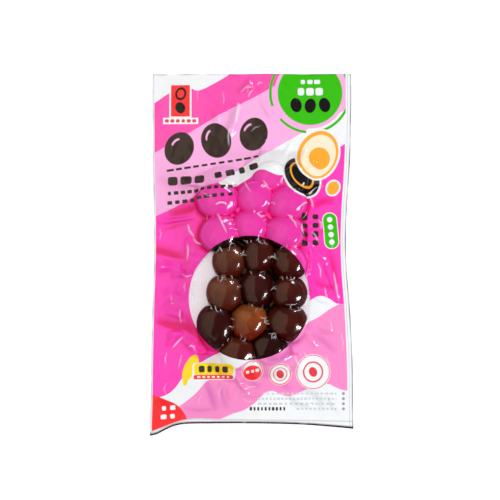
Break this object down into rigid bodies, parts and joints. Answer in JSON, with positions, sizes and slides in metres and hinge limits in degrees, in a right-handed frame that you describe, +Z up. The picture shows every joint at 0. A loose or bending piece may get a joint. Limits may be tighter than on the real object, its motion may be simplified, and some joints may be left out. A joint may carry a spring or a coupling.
{
  "type": "vacuum pack of braised quail eggs",
  "caption": "Shut vacuum pack of small dark braised eggs, printed film with a clear round window, lying flat.",
  "frame": {"origin": "on the table under the middle of the pack's box, where the eggs' undersides rest", "axes": "+Y along the pack's length towards the end without eggs, +X across it to the right, +Z up, window side up"},
  "size_m": [0.12, 0.216, 0.0205],
  "materials": {
    "printed_film": "glossy laminated film, printed in pink, white, green and red fields",
    "clear_film": "thin clear glossy film over the window",
    "back_film": "white glossy film",
    "braised_egg": "smooth dark brown skin of a braised egg, slightly waxy"
  },
  "bodies": {
    "root": {"pouch": "printed_film", "egg_01": "braised_egg", "egg_02": "braised_egg", "egg_03": "braised_egg", "egg_04": "braised_egg", "egg_05": "braised_egg", "egg_06": "braised_egg", "egg_07": "braised_egg", "egg_08": "braised_egg", "egg_09": "braised_egg", "egg_10": "braised_egg", "egg_11": "braised_egg", "egg_12": "braised_egg", "egg_13": "braised_egg", "egg_14": "braised_egg"}
  },
  "joints": []
}
